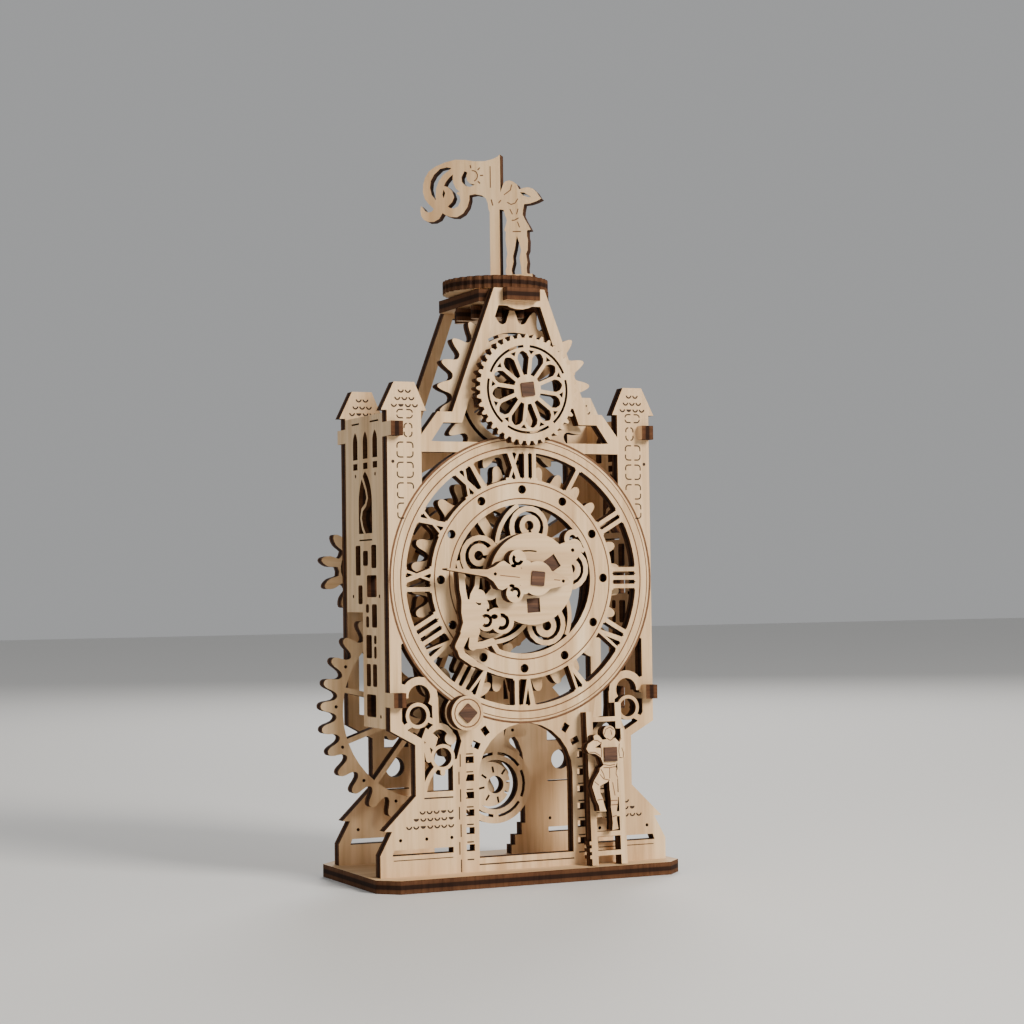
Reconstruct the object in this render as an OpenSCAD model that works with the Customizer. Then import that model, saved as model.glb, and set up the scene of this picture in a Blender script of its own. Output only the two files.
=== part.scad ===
// Working clock tower cut from one thickness of plywood.
// Frame: origin at the centre of the base's underside, +Z up, the dial faces -Y.

/* [Sheet and body] */

// Thickness of every cut sheet
ply = 3; // [2.9:0.05:3.1]
// Width of the base
base_w = 77; // [72:1:96]
// Depth of the base
base_d = 43.2; // [38:0.4:52]
// Cut across each corner of the base
base_chamfer = 4.3; // [2:0.1:6]
// Distance between the outer faces of the two tall frames
body_d = 30; // [30:0.5:36]
// Width across the two corner towers
body_w = 67.2; // [66.6:0.2:74]
// How far a wall tab stands out of a frame
tab_out = 2.4; // [1:0.1:3]

/* [Dial] */

// Height of the dial's centre above the underside
clock_z = 70; // [70:0.5:71]
// Outer radius of the dial ring
dial_r = 33.5; // [33.3:0.1:34]
// Bore of the dial's central ring, which guides the three pegs
hub_bore_r = 8.1; // [8.1:0.05:8.4]
// Radius of the circle the pegs stand on
peg_circle_r = 6.2; // [5.8:0.1:6.2]
// Width of a square peg
peg_w = 3.3; // [2.8:0.1:3.3]

/* [Gear train] */

// Gear module
gear_m = 1.72; // [1.72:0.01:1.73]
// Sideways offset of the drive arbor
drive_dx = 16; // [15:0.1:17]
// Sideways offset of the rear axle
rear_dx = 28.2; // [28:0.1:28.3]
// Width of a square arbor
arbor_w = 3.3; // [3.2:0.05:3.6]
// Radius the arbor's corners are rounded to
arbor_r = 2.2; // [2.1:0.02:2.3]
// Running clearance of an arbor in a bore, on the radius
run_gap = 0.07; // [0.04:0.01:0.1]
// Height of the flat gear under the platform, from the base top
crown_z = 128.5; // [128.5:0.1:128.9]

/* [Pendulum and platform] */

// Radius of the pendulum bob
bob_r = 9.25; // [8:0.25:10]
// Distance from the pendulum's pivot to the centre of the bob
bob_drop = 49; // [46:0.5:50]
// Radius of the turning platform
platform_r = 12.6; // [11.5:0.1:13]
// Angle the flag plate is turned away from the front
flag_turn = 39; // [0:1:60]

/* [Ladder] */

// Height at which the ladder touches the frame
ladder_top = 40.5; // [38:0.5:42]
// Lean of the ladder from upright, in degrees
ladder_lean = 3.7; // [2:0.1:3.7]

/* [Hidden] */

$fn = 72;
wood = [0.86, 0.74, 0.57];
burnt = [0.45, 0.28, 0.16];

half_w = body_w / 2;
strip_in = half_w - 8.4;
front_y = -body_d / 2;
rear_y = body_d / 2;
front_in = front_y + ply;
rear_in = rear_y - ply;
play = 0.3;
gear1_y = front_in + play;
collar_y = rear_in - 0.2 - ply;
gear2_y = collar_y - ply;
pend_y = gear2_y - 0.4 - ply;
gear3_y = rear_y + play;
rose_y = front_y - 0.8 - ply;
knob_y = front_y - play - ply;
disc_y = front_y - 1.7 - ply;
hand_y = disc_y - 0.1 - ply;

big_n = 30;
up_n = 21;
small_n = 10;
rear_n = 23;
pitch_big = big_n * gear_m / 2;
pitch_small = small_n * gear_m / 2;
drive_x = -drive_dx;
drive_z = clock_z - sqrt(pow(pitch_big + pitch_small, 2) - pow(drive_dx, 2));
upper_z = clock_z + (big_n + up_n) * gear_m / 2;
rear_x = -rear_dx;
rear_c = (rear_n + small_n) * gear_m / 2;
rear_z = clock_z + sqrt(pow(rear_c, 2) - pow(rear_dx, 2));
axis_y = front_y + 13.6;
crown_low = ply + crown_z;
bridge_low = crown_low + ply + play;
bridge_top = bridge_low + ply;
disc_low = bridge_top + play;
bore_r = arbor_r + run_gap;

// Where the teeth stand, so that every pair is in mesh at rest.
function mate(n1, ph1, dir, n2) = dir + 180 - n1 / n2 * (ph1 - dir) + 180 / n2;
up_ph = 5.6;
hour_ph = mate(up_n, up_ph, -90, big_n);
a1_dir = atan2(drive_z - clock_z, drive_x);
pin1_ph = mate(big_n, hour_ph, a1_dir, small_n);
wheel_ph = 9;
pin2_ph = mate(big_n, wheel_ph, a1_dir + 180, small_n);
gear5_ph = 24.8;
a5_dir = atan2(rear_z - clock_z, rear_x);
wheel5_ph = mate(small_n, gear5_ph, a5_dir + 180, rear_n);
crown_ph = -90 + 18 - (up_ph + 5 * 360 / up_n - 90) * up_n / small_n;

// ---------------------------------------------------------------- helpers

// A sheet standing upright, its front face at y.
module upright(y, t = ply) {
    translate([0, y + t, 0])
        rotate([90, 0, 0])
            linear_extrude(t)
                children();
}

// A round hole through an upright sheet.
module bore(x, z, r, y, t = ply) {
    translate([x, y - 1, z])
        rotate([-90, 0, 0])
            cylinder(h = t + 2, r = r);
}

// A bar along Y, square with rounded corners.
module arbor_bar(x, z, y0, y1, turn = 0) {
    translate([x, y0, z])
        rotate([-90, 0, 0])
            intersection() {
                rotate([0, 0, -turn])
                    translate([-arbor_w / 2, -arbor_w / 2, 0])
                        cube([arbor_w, arbor_w, y1 - y0]);
                cylinder(h = y1 - y0, r = arbor_r);
            }
}

// The same square, flat, as the hole in whatever the arbor drives.
module square_hole(turn = 0) {
    intersection() {
        rotate(turn)
            square(arbor_w, center = true);
        circle(arbor_r);
    }
}

module mirrored() {
    children();
    mirror([1, 0])
        children();
}

module ring(r_out, r_in) {
    difference() {
        circle(r_out);
        circle(r_in);
    }
}

// Part of a ring between two angles.
module arc(r_out, r_in, a0, a1) {
    steps = ceil((a1 - a0) / (r_out > 9 ? 6 : 14));
    polygon(concat(
        [for (i = [0:steps])
            let (a = a0 + (a1 - a0) * i / steps)
            [r_out * cos(a), r_out * sin(a)]],
        [for (i = [steps:-1:0])
            let (a = a0 + (a1 - a0) * i / steps)
            [r_in * cos(a), r_in * sin(a)]]));
}

// A bar of one width from point to point, round at each.
module stroke(pts, w) {
    for (i = [0:len(pts) - 2])
        bar(pts[i], pts[i + 1], w);
}

module bar(a, b, w) {
    d = b - a;
    translate(a)
        rotate(atan2(d[1], d[0]))
            translate([0, -w / 2])
                square([norm(d), w]);
    translate(a)
        circle(w / 2, $fn = 12);
    translate(b)
        circle(w / 2, $fn = 12);
}

// Tooth tables: radius from the pitch circle against half width.
rounded_tooth = [[-2.7, 1.95], [-2.2, 1.55], [-1.2, 1.28], [-0.2, 1.12],
    [0.5, 0.85], [0.85, 0.55], [1, 0.2]];
pointed_tooth = [[-1.76, 1.75], [-1.16, 1.4], [-0.46, 1.22], [0.24, 0.98],
    [0.94, 0.68], [1.44, 0.36], [1.6, 0.12]];
petal_tooth = [[-2.1, 1.0], [-1.4, 1.05], [-0.6, 1.2], [0.2, 1.25],
    [1, 1.05], [1.7, 0.7], [2.1, 0.25]];
crown_tooth = [[-2.3, 0.8], [-1.4, 0.9], [-0.4, 1.0], [0.6, 0.95],
    [1.2, 0.7], [1.5, 0.25]];

module gear(n, tooth, root_in, ph) {
    rp = n * gear_m / 2;
    k = len(tooth);
    polygon([for (i = [0:n - 1]) for (j = [0:2 * k])
        let (q = j < k ? j : 2 * k - 1 - j)
        let (r = j == 2 * k ? rp - root_in : rp + tooth[q][0])
        let (s = j < k ? -1 : 1)
        let (a = ph + i * 360 / n
            + (j == 2 * k ? 180 / n : s * asin(tooth[q][1] / r)))
        [r * cos(a), r * sin(a)]]);
}

// ---------------------------------------------------------------- frames

// Outline of a tall frame's right half, without the roof.
module half_outline() {
    polygon([[0, ply], [36.4, ply], [36.4, 8], [33.5, 13.3], [35.4, 13.4],
        [27.6, 21], [27.6, 32.6], [half_w, 35.9], [half_w, 108.7], [half_w + 1.4, 108.7],
        [half_w - 1.8, 115.2], [strip_in + 1.6, 115.2], [strip_in - 1.3, 108.7],
        [strip_in, 108.7], [strip_in, 101.7], [0, 101.7]]);
}

// The lattice leg of the roof on the right side.
module roof_leg() {
    polygon([[6.5, bridge_top], [17.4, 108.6], [21.1, 108.6], [strip_in + 0.5, 102.6],
        [strip_in + 0.5, 99.3], [20.4, 99.3], [20.4, 101.7], [22.7, 101.8],
        [19.7, 106.1], [15, 106.1], [5.4, 133.7], [0, 133.7], [0, bridge_top]]);
}

// Stones along the arch.
module arch_stones() {
    for (z = [7.8, 11.7, 15.8, 19.8, 23.8, 27.9])
        translate([13.2, z])
            square([2.05, 1.55]);
    translate([14.3 - 1.7, 32])
        rotate(25)
            translate([-1, -0.8])
                square([2.05, 1.55]);
    translate([10.2, 35.1])
        rotate(55)
            translate([-1, -0.8])
                square([2.05, 1.55]);
}

module arch_opening() {
    translate([-12, 6.1])
        square([24, 18.5]);
    translate([0, 24.6])
        circle(12);
}

// Slots and pin holes of the foot, right side.
module foot_marks() {
    polygon([[18.5, 7.75], [33.5, 7.75], [33, 9.05], [18.5, 9.05]]);
    for (x = [18.9, 25.1, 31.5])
        translate([x, 11.2])
            circle(0.4, $fn = 12);
    translate([18.4, 20.2])
        square([7.2, 0.35]);
}

// Openings with scrolls and rings beside the arch, right side.
module scroll_openings() {
    difference() {
        union() {
            translate([18.4, 21.8])
                square([7, 6.3]);
            polygon([[17.4, 29], [25.4, 27.6], [25.4, 33.6], [29.3, 35.8], [30.8, 38],
                [30.8, 55.4], [26, 50], [22, 45.6], [18.6, 43.4], [17.3, 36], [16.2, 33]]);
        }
        translate([16.4, 20.4])
            arc(9.7, 8.6, -10, 75);
        translate([20.9, 29.5])
            circle(3);
        translate([26.9, 39.2])
            circle(2.95);
        polygon([[23, 31], [26, 34], [25, 36.4], [22, 34]]);
        translate([26.5, 43.5])
            arc(4.5, 2.7, -5, 215);
        polygon([[30, 42.8], [31, 42.4], [31, 46.6], [29.8, 46.2]]);
        translate([21.6, 33.8])
            arc(3.5, 2.1, -40, 180);
        translate([18.9, 33.7])
            circle(1.4);
        stroke([[22.4, 36.8], [22.6, 39.6], [22.6, 43]], 1.5);
        stroke([[24.3, 29.2], [24.9, 32.2]], 1.5);
        stroke([[22.6, 37.4], [24.6, 38.4]], 1.2);
        stroke([[28.8, 37.2], [31, 36]], 1.4);
        stroke([[20.9, 26.9], [20.9, 25.9]], 1.2);
    }
}

module ring_holes() {
    translate([20.9, 29.5])
        circle(2.2);
    translate([26.9, 39.2])
        circle(2.15);
}

// Notches for the wall tabs, right side.
module tab_notches(heights) {
    for (z = heights)
        translate([half_w - ply, z])
            square([ply + 3, 3.3]);
}

// ---------------------------------------------------------------- dial

function glyph_w(c) = c == "I" ? 2 : c == "V" ? 4.1 : 4.3;
function before(s, i) = i == 0 ? 0 : glyph_w(s[i - 1]) + before(s, i - 1);

module glyph(c, r0, r1) {
    if (c == "I") {
        translate([-0.5, r0])
            square([1, r1 - r0]);
        serif(0, r0);
        serif(0, r1);
    }
    if (c == "V") {
        polygon([[-1.75, r1], [-0.5, r1], [0.55, r0], [-0.35, r0]]);
        polygon([[1.6, r1], [1, r1], [-0.2, r0], [0.4, r0]]);
        serif(-1.1, r1);
        serif(1.2, r1);
    }
    if (c == "X") {
        polygon([[-1.8, r1], [-0.6, r1], [1.8, r0], [0.6, r0]]);
        polygon([[1.5, r1], [0.9, r1], [-1.5, r0], [-0.9, r0]]);
        serif(-1.2, r1);
        serif(1.2, r1);
        serif(-1.2, r0);
        serif(1.2, r0);
    }
}

module serif(x, z) {
    translate([x - 0.85, z - 0.5])
        square([1.7, 1]);
}

module numerals() {
    names = ["I", "II", "III", "IV", "V", "VI", "VII", "VIII", "IX", "X", "XI", "XII"];
    for (h = [0:11]) {
        s = names[h];
        total = before(s, len(s));
        rotate(-30 * (h + 1))
            for (i = [0:len(s) - 1])
                translate([before(s, i) + glyph_w(s[i]) / 2 - total / 2, 0])
                    glyph(s[i], 23, 29.7);
    }
}

// One of the five scrolls between the inner ring and the central ring.
module spiral() {
    $fn = 18;
    translate([4.5, 7.5])
        arc(11.6, 10.6, 120, 176);
    translate([1.6, 12])
        ring(5, 3.8);
    difference() {
        translate([1.9, 12.3])
            circle(2.65);
        translate([1.7, 12.4])
            circle(1.15);
        polygon([[1.7, 12.4], [1.2, 9], [2.9, 9.3]]);
    }
    translate([1.6, 12])
        rotate(-42)
            translate([2, -0.7])
                square([2.4, 1.4]);
}

module dial() {
    ring(dial_r, 29.5, $fn = 80);
    numerals();
    difference() {
        ring(23.3, 17.4, $fn = 60);
        for (a = [0:30:330])
            rotate(a)
                translate([20.8, 0])
                    circle(1.05, $fn = 16);
    }
    difference() {
        for (k = [0:4])
            rotate(72 * k)
                spiral();
        circle(hub_bore_r + 0.5);
    }
    ring(10.6, hub_bore_r - 1);
}

// ---------------------------------------------------------------- sheets

module tower_sheet() {
    difference() {
        union() {
            half_outline();
            mirror([1, 0])
                half_outline();
        }
        // The middle is cleared above the arch for the dial.
        translate([0, clock_z])
            circle(dial_r - 1, $fn = 80);
        mirrored()
            polygon([[0, 66], [strip_in, 66], [strip_in, 99.3], [0, 99.3]]);
        mirrored()
            polygon([[half_w - 2.8, 50], [half_w - 2.8, 55.4], [24, 60], [20, 50]]);
    }
    mirrored()
        roof_leg();
}

module wall_and_foot_cuts(heights) {
    mirrored() {
        foot_marks();
        tab_notches(heights);
    }
}

// Slot and half-round lip under the bridge's tab.
module bridge_slot() {
    translate([-4.25, bridge_low])
        square([8.5, ply + 1]);
}

module bridge_lip() {
    intersection() {
        translate([0, bridge_low + 5.2])
            circle(7.1);
        translate([-4.6, bridge_low - 2])
            square([9.2, 2.5]);
    }
}

module front_sheet() {
    $fn = 26;
    difference() {
        union() {
            difference() {
                tower_sheet();
                mirrored()
                    scroll_openings();
                arch_opening();
                translate([0, clock_z])
                    circle(dial_r - 1, $fn = 80);
            }
            bridge_lip();
            translate([0, clock_z])
                dial();
            translate([drive_x, drive_z])
                circle(4.2);
            stroke([[0, clock_z + dial_r - 0.5], [0, upper_z]], 3);
            translate([0, upper_z])
                circle(3.6);
        }
        mirrored() {
            ring_holes();
            arch_stones();
        }
        wall_and_foot_cuts([41.2, 102.8]);
        bridge_slot();
    }
}

// The back frame: the same towers, with a rubble arch and plain bearings.
module rear_sheet() {
    $fn = 26;
    difference() {
        union() {
            difference() {
                tower_sheet();
                rear_openings();
                translate([0, clock_z])
                    circle(dial_r - 1, $fn = 80);
            }
            bridge_lip();
            translate([0, clock_z])
                rear_tracery();
            stroke([[0, clock_z + dial_r - 0.5], [0, upper_z]], 3.4);
            translate([0, upper_z])
                circle(4.4);
            stroke([[drive_x, drive_z], [-22.5, 33.5]], 3.2);
            stroke([[drive_x, drive_z], [-9.5, 34]], 3);
            translate([drive_x, drive_z])
                circle(4.6);
        }
        translate([21.9, 25.5])
            circle(2.4);
        translate([-21.9, 25.5])
            circle(2.4);
        wall_and_foot_cuts([102.8]);
        bridge_slot();
    }
}

module rear_openings() {
    polygon([[-12, ply - 1], [8.4, ply - 1], [8.4, 5.2], [9.4, 5.2], [9.4, 7.6],
        [11.2, 7.6], [11.2, 10.4], [12.2, 10.4], [12.2, 24.6], [-12, 24.6]]);
    translate([0, 24.6])
        circle(12);
    mirrored() {
        polygon([[18.4, 33], [24.6, 33], [24.6, 30.2], [18.4, 30.2]]);
        polygon([[25.4, 37.4], [30.8, 38.4], [30.8, 55.4], [22, 46], [19.4, 44]]);
    }
}

// Quatrefoil web that carries the minute arbor's rear bearing.
module rear_tracery() {
    ring(dial_r, 29.5, $fn = 80);
    for (k = [0:5])
        rotate(60 * k + 30) {
            translate([6, -1.4])
                square([24.5, 2.8]);
            translate([0, 0])
                arc(19.5, 17.6, 0, 60);
        }
    ring(7.5, 2);
}

// Tabs of an upright sheet that drop into the base.
module base_tabs() {
    for (x = [-26, 0, 26])
        translate([x - 4, 0])
            square([8, ply]);
}

module base_tabs_rear() {
    for (x = [-26, 26])
        translate([x - 4, 0])
            square([8, ply]);
}

// ---------------------------------------------------------------- body parts

module base_plate() {
    w = base_w / 2;
    d = base_d / 2;
    c = base_chamfer;
    color(wood)
        difference() {
            linear_extrude(ply)
                polygon([[-w + c, -d], [w - c, -d], [w, -d + c], [w, d - c],
                    [w - c, d], [-w + c, d], [-w, d - c], [-w, -d + c]]);
            for (x = [-26, 0, 26])
                translate([x - 4, front_y, -1])
                    cube([8, ply, ply + 2]);
            for (x = [-26, 26])
                translate([x - 4, rear_in, -1])
                    cube([8, ply, ply + 2]);
        }
}

module front_frame() {
    color(wood)
        difference() {
            upright(front_y) {
                offset(delta = 0)
                    union() {
                        front_sheet();
                        base_tabs();
                    }
            }
            bore(drive_x, drive_z, bore_r, front_y);
            bore(0, upper_z, bore_r, front_y);
            bore(0, clock_z, hub_bore_r, front_y);
        }
}

module rear_frame() {
    color(wood)
        difference() {
            upright(rear_in) {
                offset(delta = 0)
                    union() {
                        rear_sheet();
                        base_tabs_rear();
                    }
            }
            bore(drive_x, drive_z, bore_r, rear_in);
            bore(0, upper_z, bore_r, rear_in);
            bore(0, clock_z, bore_r, rear_in);
            bore(rear_x, rear_z, arbor_r, rear_in);
        }
}

// Side wall in its own plane: across is depth, up is height.
module wall_sheet() {
    difference() {
        union() {
            polygon([[front_in, 36.2], [1.7, 36.2], [1.7, 62.7], [rear_in, 62.7],
                [rear_in, 108.3], [front_in, 108.3]]);
            for (z = [41.2, 102.8])
                translate([front_y - tab_out, z])
                    square([ply + tab_out + 1, 3.3]);
            translate([rear_in - 1, 102.8])
                square([ply + tab_out + 1, 3.3]);
        }
        wall_cuts();
    }
}

module wall_cuts() {
    // Lancet windows under the parapet.
    for (y = [-7.2, -1, 5.5]) {
        translate([y - 1.5, 98.4])
            lancet(3, 5.6);
        translate([y - 1.4, 96])
            square([2.8, 1.5]);
        translate([y, 94.6])
            circle(0.45, $fn = 12);
    }
    for (y = [[-9.6, -4.2], [2.8, 7.7]])
        translate([y[0], 106.6])
            square([y[1] - y[0], 0.4]);
    // Great window with its tracery bar.
    difference() {
        translate([-5, 81])
            lancet(8.6, 12.2);
        stroke([[-0.7, 80.5], [1.2, 82.4], [2.2, 84.6], [1.4, 86.6], [-0.9, 87.6],
            [-2, 89.2], [-1.2, 91.2], [1.8, 95]], 0.9);
    }
    // Openings of the stone courses.
    slots = [[-7.4, 72.9, 3.2, 5.4], [-2, 73.5, 3.2, 3.5], [2.8, 71.3, 3.2, 7],
        [-7.4, 66.2, 6.2, 5.1], [-7.4, 59.2, 3.2, 5.4],
        [-2.3, 59.2, 1.9, 2.6], [-2.3, 62.6, 1.9, 2],
        [-6.9, 55.4, 1.6, 2], [-6.9, 52.1, 1.6, 2.8], [-3.9, 52.1, 3.5, 5.4],
        [-7, 45.6, 2.6, 5.2], [-3.1, 45.6, 2.7, 5.2], [-6.3, 38.6, 5.9, 5.2]];
    for (s = slots)
        translate([s[0], s[1]])
            rounded_box(s[2], s[3], 0.5);
    translate([1.7, 64.6])
        rounded_box(2.8, 4.4, 0.5);
    for (p = [[-9.1, 66.4], [7.7, 66.4], [-9.1, 38.9]])
        translate(p)
            circle(0.45, $fn = 12);
    translate([-4.8, 79.3])
        square([8.2, 0.35]);
}

module lancet(w, h) {
    square([w, h - w * 0.6]);
    intersection() {
        translate([0, h - w * 0.6])
            circle(w);
        translate([w, h - w * 0.6])
            circle(w);
        translate([0, h - w * 0.6])
            square([w, w]);
    }
}

module rounded_box(w, h, r) {
    translate([r, 0])
        square([w - 2 * r, h]);
    translate([0, r])
        square([w, h - 2 * r]);
    for (x = [r, w - r])
        for (z = [r, h - r])
            translate([x, z])
                circle(r, $fn = 12);
}

module wall_at(x0) {
    color(wood)
        translate([x0, 0, 0])
            rotate([90, 0, 90])
                linear_extrude(ply)
                    offset(delta = 0)
                        wall_sheet();
}

module left_wall() {
    wall_at(-half_w);
}

module right_wall() {
    wall_at(half_w - ply);
}

module roof_bridge() {
    color(wood)
        difference() {
            translate([0, 0, bridge_low])
                linear_extrude(ply)
                    union() {
                        translate([-4.25, front_y - tab_out])
                            square([8.5, body_d + 2 * tab_out]);
                        translate([-9, front_in])
                            square([18, rear_in - front_in]);
                    }
            translate([0, axis_y, bridge_low - 1])
                cylinder(h = ply + 2, r = bore_r);
        }
}

// ---------------------------------------------------------------- ladder

// Upright sheet number i in front of the ladder's back face, leaning.
module leaning(i) {
    translate([0, front_y, ladder_top])
        rotate([-ladder_lean, 0, 0])
            translate([0, -ply * i, -ladder_top])
                rotate([90, 0, 0])
                    linear_extrude(ply)
                        children();
}

ladder_x = 18.8;
climber_x = ladder_x - 0.3;
climber_z = 28.5;
ladder_foot = ladder_top - (ladder_top - ply) / cos(ladder_lean);

module ladder() {
    color(wood)
        leaning(0)
            difference() {
                union() {
                    for (s = [-1, 1])
                        translate([ladder_x + s * 3.8 - 0.8, ladder_foot])
                            square([1.6, ladder_top - ladder_foot + s - 1]);
                    for (i = [0:7])
                        translate([ladder_x - 3.4, ladder_foot + 2.2 + i * 4.43])
                            square([6.8, 1.1]);
                    for (i = [0:2])
                        translate([ladder_x - 5.1, ladder_foot + 1.6 + i * 1.6])
                            square([0.6, 0.8]);
                    translate([climber_x, climber_z])
                        square(peg_w + 2, center = true);
                }
                translate([climber_x, climber_z])
                    square(peg_w, center = true);
            }
}

// The climber is drawn about the peg in the middle of the back.
module climber_2d() {
    translate([0, 5.1])
        circle(1.55);
    translate([0, 4])
        square([1.6, 2], center = true);
    polygon([[-1.9, 3.4], [-2.4, 1.5], [-2.4, -0.8], [-1.8, -2.4], [-2.8, -3.1],
        [-3.1, -4.4], [-1.9, -5.6], [0.2, -5.9], [2, -5.6], [2.1, -4.4], [1.3, -3],
        [1.8, -1.6], [2.4, -0.7], [2.5, 2.7], [1.5, 3.7]]);
    polygon([[-1.8, 3.4], [-2.7, 4.4], [-3.5, 4.7], [-4.1, 4.4], [-4, 3.5], [-5.6, 2.6],
        [-6.1, 1.5], [-5.5, 0.5], [-3.7, 0.2], [-2.2, -0.8], [-2.2, 1.5], [-3.8, 1.7],
        [-2.3, 2.6]]);
    polygon([[1.4, 3.7], [2.3, 2.7], [3, 3.7], [3, 5.9], [3.8, 5.9], [3.9, 3],
        [4, 1.3], [3.8, -1], [2.3, -0.7], [2.3, 1]]);
    polygon([[-3, -3.9], [-4.5, -6], [-5, -7.3], [-4.5, -9], [-4, -10.6], [-3.5, -11.6],
        [-3.3, -13], [-1.6, -13.1], [-2.2, -11.4], [-2.4, -10.2], [-3.1, -8.6],
        [-3, -7.2], [-1.1, -6.4], [0.2, -5.4]]);
    polygon([[-0.6, -5.4], [-0.5, -8.3], [-0.3, -10.6], [-0.4, -12.2], [-0.2, -14],
        [-0.1, -15.9], [-0.3, -17.5], [1.3, -17.3], [1, -15.3], [1.1, -13],
        [1.5, -10.7], [1.5, -8.4], [1.6, -5.4]]);
}

module climber() {
    color(wood)
        leaning(1)
            offset(delta = 0)
                difference() {
                    translate([climber_x, climber_z])
                        climber_2d();
                    translate([climber_x, climber_z])
                        square(peg_w, center = true);
                }
}

module climber_peg() {
    color(burnt)
        translate([0, front_y, ladder_top])
            rotate([-ladder_lean, 0, 0])
                translate([climber_x - peg_w / 2, -2 * ply - 0.5, climber_z - ladder_top
                    - peg_w / 2])
                    cube([peg_w, 2 * ply + 0.5, peg_w]);
}

// ---------------------------------------------------------------- drive

module drive_arbor() {
    color(burnt)
        arbor_bar(drive_x, drive_z, knob_y - 0.5, rear_y + 0.6, 45);
}

// A sheet on an arbor: round outside, square hole.
module collar_2d(x, z, r, turn = 0) {
    translate([x, z])
        difference() {
            circle(r);
            square_hole(turn);
        }
}

module winding_knob() {
    color(wood)
        upright(knob_y)
            collar_2d(drive_x, drive_z, 3.95, 45);
}

module drive_pinion() {
    color(wood)
        upright(gear1_y)
            translate([drive_x, drive_z])
                difference() {
                    gear(small_n, petal_tooth, 2.4, pin1_ph);
                    square_hole(45);
                }
}

module drive_wheel() {
    color(wood)
        upright(gear2_y)
            translate([drive_x, drive_z])
                difference() {
                    gear(big_n, rounded_tooth, 2.9, wheel_ph);
                    for (i = [0:10])
                        rotate(166.3 + 360 / 11 * i)
                            spoke_gap(360 / 11);
                    for (i = [0:14])
                        rotate(wheel_ph + 24 * i)
                            translate([23, 0])
                                circle(0.4, $fn = 12);
                    square_hole(45);
                }
}

// Opening between two spokes 1.2 wide, from the hub to the rim.
module spoke_gap(step, r_in = 6.5, r_out = 21.3, w = 1.2) {
    a_in = asin(w / 2 / r_in);
    a_out = asin(w / 2 / r_out);
    polygon(concat(
        [for (i = [0:4])
            let (a = a_out + (step - 2 * a_out) * i / 4)
            [r_out * cos(a), r_out * sin(a)]],
        [for (i = [4:-1:0])
            let (a = a_in + (step - 2 * a_in) * i / 4)
            [r_in * cos(a), r_in * sin(a)]]));
}

module drive_collar() {
    color(wood)
        upright(collar_y)
            collar_2d(drive_x, drive_z, 4.5, 45);
}

// ---------------------------------------------------------------- minute

hand_turn = -6;

module minute_arbor() {
    color(burnt)
        arbor_bar(0, clock_z, hand_y - 0.4, gear3_y + ply + 0.4, hand_turn);
}

// The hand, drawn along +X from its centre.
module hand_2d() {
    difference() {
        union() {
            circle(3.95);
            polygon([[3, 1.6], [7.6, 2.9], [8.6, 3.5], [9.6, 3.3], [11, 1.7], [12.8, 0.8],
                [22.6, 0.18], [22.6, -0.18], [12.8, -0.8], [11, -1.7], [9.6, -2.9],
                [8.8, -3.2], [7.6, -2.6], [3, -1.6]]);
            for (s = [-1, 1]) {
                translate([5.4, s * 3.9])
                    circle(2.15);
                translate([3, s * 2.6])
                    circle(1.3);
            }
            polygon([[-3, 2.2], [-5.4, 1.5], [-7.8, 0.7], [-8.4, 0], [-7.8, -0.7],
                [-5.4, -1.5], [-3, -2.2]]);
        }
        for (s = [-1, 1]) {
            translate([5.4, s * 3.9])
                rotate(s > 0 ? 150 : -20)
                    arc(1.45, 0.65, -20, 190);
            translate([6.3, s * 2.3])
                scale([1, 0.6])
                    circle(0.7, $fn = 16);
        }
        translate([10.7, 0])
            circle(0.4, $fn = 12);
        translate([-6.6, 0])
            circle(0.4, $fn = 12);
        rotate(180)
            square_hole();
    }
}

module minute_hand() {
    color(wood)
        upright(hand_y)
            translate([0, clock_z])
                rotate(180 + hand_turn)
                    offset(delta = 0)
                        hand_2d();
}

module minute_pinion() {
    color(wood)
        upright(gear2_y)
            translate([0, clock_z])
                difference() {
                    gear(small_n, petal_tooth, 2.4, pin2_ph);
                    square_hole(hand_turn);
                }
}

module minute_collar() {
    color(wood)
        upright(collar_y)
            collar_2d(0, clock_z, 4.5, hand_turn);
}

// Two collars: behind the hour wheel and in front of the pendulum.
module minute_stops() {
    color(wood) {
        upright(gear1_y + ply + 0.2)
            collar_2d(0, clock_z, 4.5, hand_turn);
        upright(pend_y - 0.4 - ply)
            collar_2d(0, clock_z, 4.5, hand_turn);
    }
}

module rear_wheel() {
    color(wood)
        upright(gear3_y)
            translate([0, clock_z])
                difference() {
                    gear(rear_n, rounded_tooth, 2.9, wheel5_ph);
                    for (i = [0:7])
                        rotate(45 * i)
                            spoke_gap(45, 6.5, 15, 1.6);
                    square_hole(hand_turn);
                }
}

// ---------------------------------------------------------------- hour

module peg_places() {
    for (a = [33, 153, 273])
        rotate(a)
            translate([peg_circle_r, 0])
                children();
}

module hour_wheel() {
    color(wood)
        difference() {
            upright(gear1_y)
                translate([0, clock_z])
                    difference() {
                        gear(big_n, rounded_tooth, 2.9, hour_ph);
                        for (i = [0:5])
                            rotate(60 * i + 3)
                                spoke_gap(60, 11, 20.6, 2.4);
                        peg_places()
                            square(peg_w, center = true);
                    }
            bore(0, clock_z, bore_r, gear1_y);
        }
}

module hour_pegs() {
    color(burnt)
        upright(disc_y + 0.5, gear1_y + ply - disc_y - 0.5)
            translate([0, clock_z])
                peg_places()
                    square(peg_w, center = true);
}

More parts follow.
